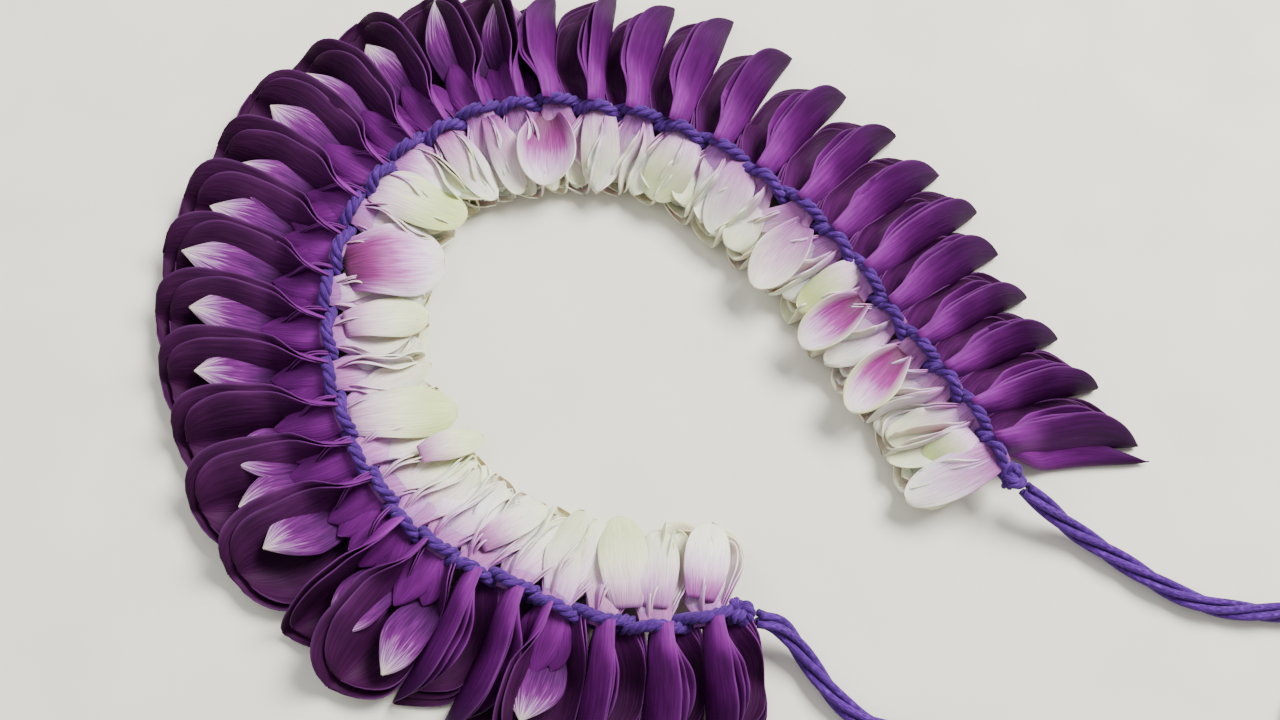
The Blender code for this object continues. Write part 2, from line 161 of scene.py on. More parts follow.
def smooth_curve(points, per_span):
    """Points along a Catmull-Rom curve through the given ones."""
    given = [np.array(p, float) for p in points]
    given = [2 * given[0] - given[1]] + given + [2 * given[-1] - given[-2]]
    curve = []
    for a, b, c, d in zip(given, given[1:], given[2:], given[3:]):
        for step in range(per_span):
            t = step / per_span
            square, cube = t * t, t * t * t
            curve.append(
                0.5 * (2 * b + (c - a) * t + (2 * a - 5 * b + 4 * c - d) * square)
                + 0.5 * (3 * b - a - 3 * c + d) * cube
            )
    curve.append(given[-2])
    return np.array(curve)


def run_along(points):
    """How far along a line each of its points lies."""
    return np.concatenate([[0], np.cumsum(np.linalg.norm(np.diff(points, axis=0), axis=1))])


SPINE = smooth_curve(SPINE_POINTS, 12)
SPINE_RUN = run_along(SPINE)


def spine_direction(run):
    """The thread's heading seen from above, this far along it."""
    middle = min(max(run, HEADING_SPAN), SPINE_RUN[-1] - HEADING_SPAN)
    ends = (middle - HEADING_SPAN, middle + HEADING_SPAN)
    ahead = [np.array([np.interp(e, SPINE_RUN, SPINE[:, k]) for k in (0, 1)]) for e in ends]
    step = ahead[1] - ahead[0]
    return step / np.linalg.norm(step)


def spine_point(run):
    """The thread's place seen from above, this far along it, straight on past its ends."""
    inside = min(max(run, 0), SPINE_RUN[-1])
    point = np.array([np.interp(inside, SPINE_RUN, SPINE[:, k]) for k in (0, 1)])
    return point + (run - inside) * spine_direction(inside)


def smoothstep(low, high, value):
    """0 up to low, 1 from high on, and a soft rise between them."""
    t = np.clip((value - low) / (high - low), 0, 1)
    return t * t * (3 - 2 * t)


def mix(a, b, share):
    """A value this share of the way from a to b."""
    return a + (b - a) * share


def between(closed, wide_open, opened):
    """Each number of a row, this share of the way from its closed to its open value."""
    return [mix(c, o, opened) for c, o in zip(closed, wide_open)]


def keel(index, radial):
    """Where a bunch's fold runs, these far outward (positive) or inward from the thread."""
    place, out_heading, _, in_heading, _, _ = BUNCHES[index]
    radial = np.asarray(radial, float)
    heading = np.radians(np.where(radial > 0, out_heading, in_heading))
    ray = np.stack([np.cos(heading), np.sin(heading)], axis=-1)
    return spine_point(place) + np.abs(radial)[..., None] * ray


def across_cell(index, radial, offset):
    """Points beside the fold, squeezed so that they stay within the bunch's own room."""
    here = keel(index, radial)
    beside = {}
    for step in (-1, 1):
        other = index + step
        if 0 <= other < len(BUNCHES):
            beside[step] = keel(other, radial) - here
        else:
            beside[step] = here - keel(index - step, radial)
    before = (offset > 0)[..., None]
    beside = np.where(before, beside[-1], beside[1])
    room = np.linalg.norm(beside, axis=-1)
    share = np.abs(offset) / (room * CELL_FILL)
    rest = 1 - FREE_SHARE
    eased = FREE_SHARE + rest * np.tanh((share - FREE_SHARE) / rest)
    squeezed = np.where(share > FREE_SHARE, eased, share)
    return here + beside * CELL_FILL * squeezed[..., None]


# materials


def linear(hex_colour):
    """A colour written the way a colour picker shows it, as Blender's linear values."""
    parts = [int(hex_colour[k:k + 2], 16) / 255 for k in (0, 2, 4)]
    return [p / 12.92 if p <= 0.04045 else ((p + 0.055) / 1.055) ** 2.4 for p in parts] + [1]


class Nodes:
    """Short names for the shader nodes that the materials are made of."""

    def __init__(self, name):
        self.material = bpy.data.materials.new(name)
        self.material.use_nodes = True
        self.tree = self.material.node_tree
        self.surface = self.tree.nodes["Principled BSDF"]

    def node(self, kind, **values):
        made = self.tree.nodes.new(kind)
        for key, value in values.items():
            setattr(made, key, value)
        return made

    def plug(self, value, socket):
        if isinstance(value, bpy.types.NodeSocket):
            self.tree.links.new(value, socket)
        else:
            socket.default_value = value

    def attribute(self, name):
        return self.node("ShaderNodeAttribute", attribute_name=name).outputs["Fac"]

    def maths(self, operation, a, b=0.0, clamp=False):
        made = self.node("ShaderNodeMath", operation=operation, use_clamp=clamp)
        self.plug(a, made.inputs[0])
        self.plug(b, made.inputs[1])
        return made.outputs[0]

    def ramp(self, value, *stops):
        made = self.node("ShaderNodeValToRGB")
        points = made.color_ramp.elements
        while len(points) < len(stops):
            points.new(stops[len(points) - 1][0])
        for point, (place, colour) in zip(points, stops):
            point.position = place
            point.color = linear(colour)
        self.plug(value, made.inputs["Fac"])
        return made.outputs["Color"]

    def blend(self, share, a, b, kind="MIX"):
        made = self.node("ShaderNodeMix", data_type="RGBA", blend_type=kind)
        self.plug(share, made.inputs["Factor"])
        self.plug(a, made.inputs["A"])
        self.plug(b, made.inputs["B"])
        return made.outputs["Result"]

    def vector(self, x, y, z):
        made = self.node("ShaderNodeCombineXYZ")
        for value, socket in zip((x, y, z), made.inputs):
            self.plug(value, socket)
        return made.outputs[0]

    def stretched(self, parts, factors):
        """A place for a texture, each of its parts stretched by its own factor."""
        return self.vector(*(self.maths("MULTIPLY", part, by) for part, by in zip(parts, factors)))

    def rim(self, across, sharpness):
        """0 along a petal's middle and 1 along its rim."""
        return self.maths("POWER", self.maths("ABSOLUTE", across), sharpness)

    def frayed(self, along, veins, middle, amount):
        """The place along a petal, pushed to and fro by its veins, so that colours meet in streaks."""
        push = self.maths("MULTIPLY", self.maths("SUBTRACT", veins, middle), amount)
        return self.maths("ADD", along, push)

    def shade(self, share, colour, value, *stops):
        """A colour multiplied by a ramp over a value, by this share."""
        return self.blend(share, colour, self.ramp(value, *stops), "MULTIPLY")

    def noise(self, vector, scale, detail=3.0):
        made = self.node("ShaderNodeTexNoise")
        self.plug(vector, made.inputs["Vector"])
        made.inputs["Scale"].default_value = scale
        made.inputs["Detail"].default_value = detail
        return made.outputs["Fac"]

    def bump(self, height, distance, strength):
        made = self.node("ShaderNodeBump")
        self.plug(height, made.inputs["Height"])
        made.inputs["Distance"].default_value = distance
        made.inputs["Strength"].default_value = strength
        self.plug(made.outputs["Normal"], self.surface.inputs["Normal"])

    def finish(self, colour, roughness, sheen=0.0, soft=0.0, gloss=0.3):
        self.plug(colour, self.surface.inputs["Base Color"])
        self.surface.inputs["Roughness"].default_value = roughness
        self.surface.inputs["Sheen Weight"].default_value = sheen
        self.surface.inputs["Specular IOR Level"].default_value = gloss
        self.surface.inputs["Subsurface Weight"].default_value = soft
        self.surface.inputs["Subsurface Scale"].default_value = 0.0012
        return self.material


# how finely veins and blotches repeat across and along a petal, and how far petals differ in them
VEIN_STRETCH = (7.0, 1.6, 40.0)
BLOTCH_STRETCH = (1.6, 2.6, 70.0)
VEIN_SCALE = 2.6
BLOTCH_SCALE = 1.5

# the same for fibres round and along a yarn, and for the yarn's slow change of tone along it
FIBRE_STRETCH = (5.0, 0.7, 1.0)
FIBRE_SCALE = 1.8
TONE_STRETCH = 0.15


def petal_lines(nodes):
    """Fine lengthwise veins and soft blotches, from each petal's own along and across."""
    along, across, tint = (nodes.attribute(name) for name in ("along", "across", "tint"))
    veins = nodes.noise(nodes.stretched((across, along, tint), VEIN_STRETCH), VEIN_SCALE, 4.0)
    blotch = nodes.noise(nodes.stretched((across, along, tint), BLOTCH_STRETCH), BLOTCH_SCALE, 2.0)
    return along, across, tint, veins, blotch


def purple_material():
    """The outward petals: lilac at the thread, deep purple at the tip, painted shade in the fold."""
    nodes = Nodes("purple_petal")
    along, across, tint, veins, blotch = petal_lines(nodes)
    outside = nodes.ramp(
        along, (0.0, "8e369c"), (0.2, "80288c"), (0.5, "661a70"), (0.78, "4a1254"), (1.0, "360c3e"),
    )
    # the inner faces are painted darker: painted shade in the hollow of the fold, over the same purple
    inside = nodes.ramp(
        along, (0.0, "6a2672"), (0.25, "521c57"), (0.5, "471a49"), (0.8, "3e173f"), (1.0, "441843"),
    )
    colour = nodes.blend(nodes.attribute("face"), inside, outside)
    colour = nodes.shade(0.6, colour, veins, (0.3, "8c808e"), (0.52, "c0b6c2"), (0.72, "f2e8f4"))
    colour = nodes.shade(0.45, colour, blotch, (0.3, "9a8f9c"), (0.7, "fff4ff"))
    colour = nodes.shade(0.5, colour, tint, (0.0, "cdb9cf"), (0.5, "f3eaf4"), (1.0, "ffe8ff"))
    # a thin paler line along the rim: a painted highlight on the petal's edge
    edge = nodes.maths("MULTIPLY", nodes.rim(across, 40.0), 0.3)
    colour = nodes.blend(edge, colour, linear("6d3a78"))
    nodes.bump(veins, 0.00025, 0.45)
    return nodes.finish(colour, 0.55, gloss=0.06)


def sepal_material():
    """Petals shown in open bunches: dark purple base, deepened by painted shade, and a pale tip."""
    nodes = Nodes("pale_tipped_sepal")
    along, across, _, veins, blotch = petal_lines(nodes)
    # the darkest colours at the base: the petal's own dark purple deepened by painted shade under the
    # lobes
    colour = nodes.ramp(
        nodes.frayed(along, veins, 0.55, 0.75),
        (0.0, "2c0834"), (0.36, "471152"), (0.6, "68206f"), (0.82, "a27aaa"), (1.0, "d8d8bc"),
    )
    edge = nodes.maths("MULTIPLY", nodes.rim(across, 3.0), 0.35)
    colour = nodes.blend(edge, colour, linear("64346f"))
    colour = nodes.shade(0.5, colour, veins, (0.3, "a898aa"), (0.6, "f8f2f8"))
    colour = nodes.shade(0.25, colour, blotch, (0.35, "b8a8ba"), (0.7, "ffffff"))
    nodes.bump(veins, 0.0002, 0.4)
    return nodes.finish(colour, 0.6, gloss=0.06)


def base_material():
    """The white petal bases: lilac at the thread, some tinged green and some flushed purple."""
    nodes = Nodes("white_petal_base")
    along, across, tint, veins, blotch = petal_lines(nodes)
    shifted = nodes.frayed(along, veins, 0.5, 0.34)
    white = nodes.ramp(
        shifted, (0.0, "8c3c94"), (0.2, "b26cb8"), (0.4, "dabade"), (0.64, "efebec"), (1.0, "f2f3de"),
    )
    green = nodes.ramp(
        shifted, (0.0, "b47cba"), (0.25, "d8c2d4"), (0.5, "dbe2b6"), (0.8, "c6d88a"), (1.0, "d2dfa4"),
    )
    blush = nodes.ramp(
        shifted, (0.0, "4a1038"), (0.3, "7c1c6e"), (0.48, "9c3a94"), (0.66, "cf98d0"),
        (0.84, "e8d8e8"), (1.0, "ecebdc"),
    )
    greenness = nodes.ramp(nodes.attribute("green"), (0.0, "000000"), (1.0, "ffffff"))
    colour = nodes.blend(greenness, white, green)
    blushing = nodes.ramp(nodes.attribute("blush"), (0.0, "000000"), (1.0, "ffffff"))
    middle = nodes.maths("SUBTRACT", 1.0, nodes.rim(across, 2.0))
    deep = nodes.maths("MULTIPLY", nodes.maths("MULTIPLY", blushing, 1.5), middle, clamp=True)
    colour = nodes.blend(deep, colour, blush)
    colour = nodes.shade(0.55, colour, veins, (0.3, "e4dbe4"), (0.6, "ffffff"))
    colour = nodes.shade(0.3, colour, blotch, (0.3, "e2deda"), (0.7, "ffffff"))
    colour = nodes.shade(
        0.8, colour, tint, (0.0, "e6dfe6"), (0.4, "faf6fa"), (0.7, "f8fae8"), (1.0, "ffffff"),
    )
    nodes.bump(veins, 0.00025, 0.5)
    return nodes.finish(colour, 0.5, sheen=0.08, soft=0.25)


def thread_material():
    """Violet yarn with fibres along it and a slow change of tone."""
    nodes = Nodes("violet_yarn")
    around, run, tint = (nodes.attribute(name) for name in ("across", "along", "tint"))
    fibres = nodes.noise(nodes.stretched((around, run, tint), FIBRE_STRETCH), FIBRE_SCALE, 4.0)
    slow = nodes.noise(nodes.vector(nodes.maths("MULTIPLY", run, TONE_STRETCH), tint, 0.0), 1.0)
    colour = nodes.ramp(fibres, (0.25, "1e0838"), (0.5, "461674"), (0.78, "6f3aa6"))
    colour = nodes.shade(0.4, colour, slow, (0.3, "a9a0c0"), (0.7, "ffffff"))
    nodes.bump(fibres, 0.0002, 0.7)
    return nodes.finish(colour, 0.8, sheen=0.06, gloss=0.2)


def floor_material():
    """A plain pale floor, very faintly mottled."""
    nodes = Nodes("pale_floor")
    place = nodes.node("ShaderNodeTexCoord").outputs["Object"]
    colour = nodes.ramp(nodes.noise(place, 60.0, 2.0), (0.35, "dcd9cd"), (0.65, "e2dfd4"))
    return nodes.finish(colour, 0.85)


# meshes


def mesh_object(name, vertices, faces, values, materials, slots):
    """A smooth-shaded mesh with the named numbers kept on its vertices."""
    mesh = bpy.data.meshes.new(name)
    mesh.from_pydata((np.asarray(vertices) * MM).tolist(), [], faces)
    for key, numbers in values.items():
        layer = mesh.attributes.new(key, "FLOAT", "POINT")
        layer.data.foreach_set("value", np.asarray(numbers, np.float32))
    for material in materials:
        mesh.materials.append(material)
    mesh.polygons.foreach_set("material_index", slots)
    mesh.polygons.foreach_set("use_smooth", [True] * len(faces))
    mesh.update()
    obj = bpy.data.objects.new(name, mesh)
    bpy.context.scene.collection.objects.link(obj)
    return obj


class Gather:
    """Closed sheets and tubes collected into one mesh."""

    def __init__(self):
        self.vertices, self.faces, self.slots = [], [], []
        self.values = {key: [] for key in ("along", "across", "face", "tint", "green", "blush")}

    def add(self, vertices, faces, slot, **values):
        """One closed piece, with the numbers that its material reads."""
        base = sum(len(part) for part in self.vertices)
        self.vertices.append(vertices)
        self.faces += [[k + base for k in face] for face in faces]
        self.slots += [slot] * len(faces)
        for key, numbers in self.values.items():
            given = values.get(key, 0.0)
            numbers.append(np.broadcast_to(np.asarray(given, float), len(vertices)))

    def sheet(self, grid, slot, along, across, top_face, **values):
        """A thin closed petal: a grid of points made thick, thinner along its rim."""
        rows, columns = grid.shape[:2]
        down = np.gradient(grid, axis=0)
        over = np.gradient(grid, axis=1)
        normal = np.cross(over, down)
        size = np.linalg.norm(normal, axis=-1, keepdims=True)
        normal = normal / np.maximum(size, 1e-9)
        edge = np.abs(across) ** RIM_SHARPNESS
        edge = np.maximum(edge, smoothstep(TIP_THINS_FROM, 1.0, along / along.max()))
        half = (PETAL_THICKNESS / 2 * (1 - RIM_THINNING * edge))[..., None]
        top, bottom = grid + normal * half, grid - normal * half
        count = rows * columns
        faces = []
        for r in range(rows - 1):
            for c in range(columns - 1):
                a, b = r * columns + c, r * columns + c + 1
                d, e = a + columns, b + columns
                faces.append((a, b, e, d))
                faces.append((a + count, d + count, e + count, b + count))
        rim = [r * columns for r in range(rows)]
        rim += [(rows - 1) * columns + c for c in range(1, columns)]
        rim += [r * columns + columns - 1 for r in range(rows - 2, -1, -1)]
        rim += list(range(columns - 2, 0, -1))
        for a, b in zip(rim, rim[1:] + rim[:1]):
            faces.append((a, a + count, b + count, b)[::-1])
        self.add(
            np.concatenate([top.reshape(-1, 3), bottom.reshape(-1, 3)]), faces, slot,
            along=np.tile(along.ravel(), 2), across=np.tile(across.ravel(), 2),
            face=np.repeat([top_face, 1.0 - top_face], count), **values,
        )

    def tube(self, points, radius, sides, slot, **values):
        """A closed tube along the given points."""
        points = np.asarray(points)
        forward = np.gradient(points, axis=0)
        forward /= np.linalg.norm(forward, axis=1, keepdims=True)
        side = np.cross(forward[0], (0, 0, 1.0))
        side /= np.linalg.norm(side)
        rings, angle = [], np.linspace(0, 2 * math.pi, sides, endpoint=False)
        for point, ahead in zip(points, forward):
            side = side - ahead * side.dot(ahead)
            side /= np.linalg.norm(side)
            up = np.cross(side, ahead)
            rings.append(point + radius * (np.cos(angle)[:, None] * side + np.sin(angle)[:, None] * up))
        count = len(points)
        run = run_along(points)
        faces = []
        for k in range(count - 1):
            for s in range(sides):
                t = (s + 1) % sides
                faces.append((k * sides + s, k * sides + t, (k + 1) * sides + t, (k + 1) * sides + s))
        faces.append(tuple(range(sides - 1, -1, -1)))
        faces.append(tuple((count - 1) * sides + s for s in range(sides)))
        self.add(
            np.concatenate(rings), faces, slot, along=np.repeat(run, sides),
            across=np.tile(np.sin(angle), count), **values,
        )

    def make(self, name, materials):
        """One object of all that was gathered."""
        values = {key: np.concatenate(numbers) for key, numbers in self.values.items()}
        vertices = np.concatenate(self.vertices)
        return mesh_object(name, vertices, self.faces, values, materials, self.slots)


# petals

ALONG = 1 - (1 - np.linspace(0, 1, PETAL_ROWS)) ** TIP_CROWDING
RIM_SWEEP = math.pi / 2 * RIM_CROWDING
ACROSS = np.sin(np.linspace(-1, 1, PETAL_COLUMNS) * RIM_SWEEP) / math.sin(RIM_SWEEP)


def tip_width(along, widest, waist, sharpness, shoulder=2.2):
    """A petal's half width over its length, as a share of its widest."""
    rise = waist + (1 - waist) * np.sin(math.pi / 2 * np.minimum(1, along / widest))
    fall = (1 - np.maximum(0, (along - widest) / (1 - widest)) ** shoulder) ** sharpness
    return rise * np.maximum(fall, NARROWEST_TIP)


def section(half, angles):
    """Sideways and upward run of a folded petal's cross-section, one row for each place along.

    angles holds the clockwise wall's at the fold and at its edge, then the counter-clockwise
    wall's, in degrees from straight up and positive toward the bunch before.
    """
    run = half[:, None] * ACROSS[None, :]
    share = np.abs(ACROSS)[None, :]
    cw = angles[0][:, None] + (angles[1] - angles[0])[:, None] * share + 180
    ccw = angles[2][:, None] + (angles[3] - angles[2])[:, None] * share
    turn = smoothstep(-FOLD_RADIUS, FOLD_RADIUS, run)
    heading = np.radians(cw * (1 - turn) + ccw * turn)
    step = np.diff(run, axis=1)
    mean = (heading[:, 1:] + heading[:, :-1]) / 2
    start = np.zeros((len(half), 1))
    sideways = np.concatenate([start, np.cumsum(step * np.sin(mean), axis=1)], axis=1)
    upward = np.concatenate([start, np.cumsum(step * np.cos(mean), axis=1)], axis=1)
    middle = len(ACROSS) // 2
    fold = slice(middle, middle + 1)
    return sideways - sideways[:, fold], upward - upward[:, fold]


def angle_rows(near, far, share):
    """A section's four angles over a petal's length, from those near the thread to those far out."""
    return [near[k] + (far[k] - near[k]) * share for k in range(4)]


def keel_height(radial, lift=0.0):
    """The fold's height: through the tie at the thread, then down along the floor."""
    near_tie = 1 - smoothstep(*FALLING, radial)
    return FOLD_HEIGHT + lift + (FOLD_RISE - lift) * near_tie


def held(up):
    """Heights eased to stay just above the floor and near the top of the solids."""
    lowest = FLOOR_CLEAR + EASING * np.exp(np.minimum((up - FLOOR_CLEAR - EASING) / EASING, 0))
    up = np.where(up < FLOOR_CLEAR + EASING, lowest, up)
    highest = TOP_FROM + EASING * np.tanh((up - TOP_FROM) / EASING)
    return np.where(up > TOP_FROM, highest, up)


# a section's four angles: of the shells near the thread and further out, closed and lying open,
# of the white bases in the same two places, and of petals that arch over
WAIST_CLOSED = (-6, 54, 92, 40)
WAIST_OPEN = (-64, 34, 86, -8)
BLADE_CLOSED = (12, 48, 98, 62)
BLADE_OPEN = (-16, -72, 102, 52)
INNER_WAIST = (-60, 34, 84, -4)
INNER_BLADE = (-24, 20, 86, 44)
DOME = (-80, -128, 80, 128)
FLAT_DOME = (-84, -104, 84, 108)
LEAF = (-78, -112, 80, 114)


def folded_petal(gather, index, draw, slot, reach, width, layer, shape, wave, way=1, opened=0.0,
                 aside=0.0, turn=0.0, spoon=0.0, near=None, far=None, begin=0.0, lift=0.0,
                 ridge=None, back=False, fade=1.0, **values):
    """One petal of a bunch, folded lengthwise like a boat, outward or inward from the thread.

    near and far are its section's angles by the thread and further out. A petal with a ridge lies
    off the floor: the ridge is its fold's height at its base and at its tip, and the rise between
    them. back turns its outside up, and fade keeps it to the colours near its base.
    """
    if near is None:
        near = between(WAIST_CLOSED, WAIST_OPEN, opened) if way > 0 else INNER_WAIST
    if far is None:
        far = between(BLADE_CLOSED, BLADE_OPEN, opened) if way > 0 else INNER_BLADE
    radial = begin + (reach - begin) * ALONG
    half = width * tip_width(ALONG, *shape) * mix(WIDTH_AT_TIE, 1, smoothstep(*WIDENING, radial))
    away = smoothstep(*OPENING, radial)
    angles = angle_rows([n + turn * TURN_AT_TIE for n in near], [f + turn for f in far], away)
    side, up = section(half, angles)
    spread = np.radians(np.maximum(angles[2] - angles[0], LEAST_SPREAD)) / 2
    middle = np.radians(angles[2] + angles[0]) / 2
    inward = layer / np.sin(spread) * smoothstep(*NESTING, radial)
    side = side + (inward * np.sin(middle))[:, None] + aside * smoothstep(*LEANING, radial)[:, None]
    up = up + (inward * np.cos(middle))[:, None]
    phase = [draw.uniform(0, 6.28) for _ in range(3)]
    ripple = np.sin(ALONG * LONG_WAVE + phase[0])[:, None] * ACROSS[None, :] ** 3
    ripple = ripple + 0.5 * np.sin(ALONG * SHORT_WAVE + phase[1])[:, None] * ACROSS[None, :] ** 5
    up = up + wave * ripple * smoothstep(*WAVE_GROWS, ALONG)[:, None]
    sway = np.sin(ALONG * SWAY + phase[2]) * smoothstep(*SWAY_GROWS, ALONG)
    side = side + 0.5 * wave * sway[:, None]
    base = keel_height(radial, lift)
    if ridge:
        base = mix(ridge[0], ridge[1], smoothstep(0, 1, ALONG)) + ridge[2] * np.sin(math.pi * ALONG)
    up = held(up + (base + spoon * smoothstep(*SPOON_GROWS, ALONG) ** 2)[:, None])
    place = np.broadcast_to((way * radial + OUTWARD_NUDGE)[:, None], side.shape)
    grid = np.concatenate([across_cell(index, place, side), up[..., None]], axis=-1)
    along = np.broadcast_to(ALONG[:, None] * fade, side.shape)
    across = np.broadcast_to(ACROSS[None, :], side.shape)
    top_face = 1.0 if (way > 0) != back else 0.0
    gather.sheet(grid, slot, along, across, top_face, tint=draw.random(), **values)


# the material slots of a bunch
PURPLE, SEPAL, BASE = 0, 1, 2

# a shell's widest place, width at its base and bluntness, closed and lying open
SHELL_CLOSED = (0.6, 0.82, 0.85)
SHELL_OPEN = (0.68, 0.68, 0.45)
SHELL_WAVE = 0.35

# the shells within the outermost one: how long each may be and how wide it is, as shares of it
INNER_SHELLS = [((0.91, 0.95), 0.88), ((0.8, 0.86), 0.78)]

# how far an open shell's tip curls up, and how much less each one within it does
SPOON_RISE = 2.4
SPOON_STEP = 0.5

# a bunch that lies further open than this shows its inner petal and short lobes
OPEN_FROM = 0.3

# where those inner petals end, by the bunch's number: how far outward and how far aside
SEPAL_TIPS = {
    4: (15.8, 0.9), 7: (18.0, 5.0), 8: (17.6, 4.7), 9: (17.3, -0.5), 10: (17.7, 2.1), 11: (16.7, 4.2),
    12: (19.0, -0.3), 13: (19.7, -0.8), 14: (21.8, -0.3), 15: (19.8, 0.5), 16: (19.2, 2.0),
    17: (19.8, 0.4), 18: (20.5, 2.9), 19: (18.1, 1.7), 20: (20.3, -1.2), 21: (18.8, -1.2),
}
SEPAL_HALF_WIDTH = 4.3
SEPAL_SHAPE = (0.5, 0.6, 1.0, 1.7)
SEPAL_RIDGE = (3.6, 5.6, 0.5)
SEPAL_BEGIN = 5.0

# the lobes beside the thread: how far aside, how long and how high each starts, and the height
# that their tips come down to
LOBES = [(-2.5, 8.0, 7.0), (0.3, 9.5, 7.4), (2.9, 7.8, 7.1)]
LOBE_HALF_WIDTH = 2.9
LOBE_SHAPE = (0.35, 0.85, 0.9)
LOBE_TIP_HEIGHT = 4.6


def open_inside(gather, index, draw, turn):
    """What shows in a bunch that lies open: a pale-tipped petal, and lobes beside the thread."""
    reach, aside = SEPAL_TIPS[index + 1]
    folded_petal(
        gather, index, draw, SEPAL, reach, SEPAL_HALF_WIDTH, 0.0, SEPAL_SHAPE, 0.12, turn=turn,
        aside=aside, near=LEAF, far=LEAF, ridge=SEPAL_RIDGE, begin=SEPAL_BEGIN,
    )
    for aside, length, height in LOBES:
        folded_petal(
            gather, index, draw, PURPLE, length * draw.uniform(0.85, 1.15), LOBE_HALF_WIDTH, 0.0,
            LOBE_SHAPE, 0.15, turn=draw.uniform(-9, 9), aside=aside * draw.uniform(0.8, 1.2),
            near=DOME, far=DOME, ridge=(height, LOBE_TIP_HEIGHT, 0.5), back=True, begin=-0.4, fade=0.5,
        )


def outward_petals(gather, index, draw):
    """The purple ends of a bunch's petals, laid one in another."""
    _, _, reach, _, _, opened = BUNCHES[index]
    turn = draw.uniform(-4, 4)
    reach *= draw.uniform(0.965, 1.0)
    nested = [(1.0, 1.0)] + [(draw.uniform(*lengths), wide) for lengths, wide in INNER_SHELLS]
    for layer, (length, wide) in enumerate(nested[:2] if opened > OPEN_FROM else nested):
        folded_petal(
            gather, index, draw, PURPLE, reach * length, OUTER_HALF_WIDTH * wide, LAYER_GAP * layer,
            between(SHELL_CLOSED, SHELL_OPEN, opened), SHELL_WAVE, opened=opened,
            turn=turn + layer * draw.uniform(-3, 3), spoon=(SPOON_RISE - SPOON_STEP * layer) * opened,
        )
    if opened > OPEN_FROM:
        open_inside(gather, index, draw, turn)
    if index == len(BUNCHES) - 1:
        # one narrow petal leans out of the last bunch, over the thread's end
        folded_petal(
            gather, index, draw, PURPLE, reach * 1.02, 4.6, 0.0, (0.55, 0.5, 0.9, 1.5), 0.4, turn=30,
            aside=-2.6, lift=0.2,
        )


# the three nested white bases: how much shorter and narrower each is than the one before, as a
# share of the outermost, and their width where a cup lies over them
BASE_SHORTER = 0.08
BASE_NARROWER = 0.12
CUPPED_WIDTH = 0.78
BASE_SHAPE = (0.62, 0.6, 0.45)

# flatter petals over them where there is no cup: how far aside and how long, as a share
OVERLAYS = [(-1.9, 0.97), (1.5, 0.9)]
OVERLAY_HALF_WIDTH = 2.8

# short petals beside the thread: how far aside, without a cup and with one
STUBS = (-2.7, 0.1, 2.8)
STUBS_BY_CUP = (-3.4, 3.4)
STUB_HALF_WIDTH = 2.7
STUB_SHAPE = (0.4, 0.9, 0.7)
STUB_RIDGE = (7.9, 4.4, 0.3)


def inward_petals(gather, index, draw):
    """The white bases of a bunch's petals, cupped one in another on the inner side."""
    reach = BUNCHES[index][4]
    green = draw.uniform(0, 0.6)
    cupped = any(face[3] is CUP and face_bunch(face[0]) == index for face in FACES)
    width = INNER_HALF_WIDTH * (CUPPED_WIDTH if cupped else 1)
    for number in range(3):
        folded_petal(
            gather, index, draw, BASE, reach * (1 - BASE_SHORTER * number) * draw.uniform(0.93, 1.0),
            width * (1 - BASE_NARROWER * number), LAYER_GAP * number, BASE_SHAPE, 0.45, way=-1,
            turn=draw.uniform(-12, 12), aside=draw.uniform(-0.8, 0.8), spoon=draw.uniform(0, 1.5),
            green=green * draw.uniform(0.3, 1.4), blush=draw.uniform(0, 0.35),
        )
    for aside, length in () if cupped else OVERLAYS:
        folded_petal(
            gather, index, draw, BASE, reach * length * draw.uniform(0.85, 1.03), OVERLAY_HALF_WIDTH,
            0.0, wave=0.5, way=-1, turn=draw.uniform(-28, 28), aside=aside * draw.uniform(0.7, 1.3),
            near=FLAT_DOME, far=FLAT_DOME, begin=-0.6,
            ridge=(draw.uniform(5.6, 7.6), draw.uniform(2.2, 4.6), 0.3),
            shape=(draw.uniform(0.5, 0.7), 0.7, draw.uniform(0.35, 0.9)),
            green=green * draw.uniform(0.2, 1.6), blush=draw.uniform(0, 0.2),
        )
    for aside in STUBS_BY_CUP if cupped else STUBS:
        folded_petal(
            gather, index, draw, BASE, draw.uniform(4.5, 8.0), STUB_HALF_WIDTH, 0.0, STUB_SHAPE, 0.2,
            way=-1, aside=aside, turn=draw.uniform(-20, 20), near=DOME, far=DOME, ridge=STUB_RIDGE,
            begin=-1.0, fade=0.55, blush=draw.uniform(0, 0.3),
        )


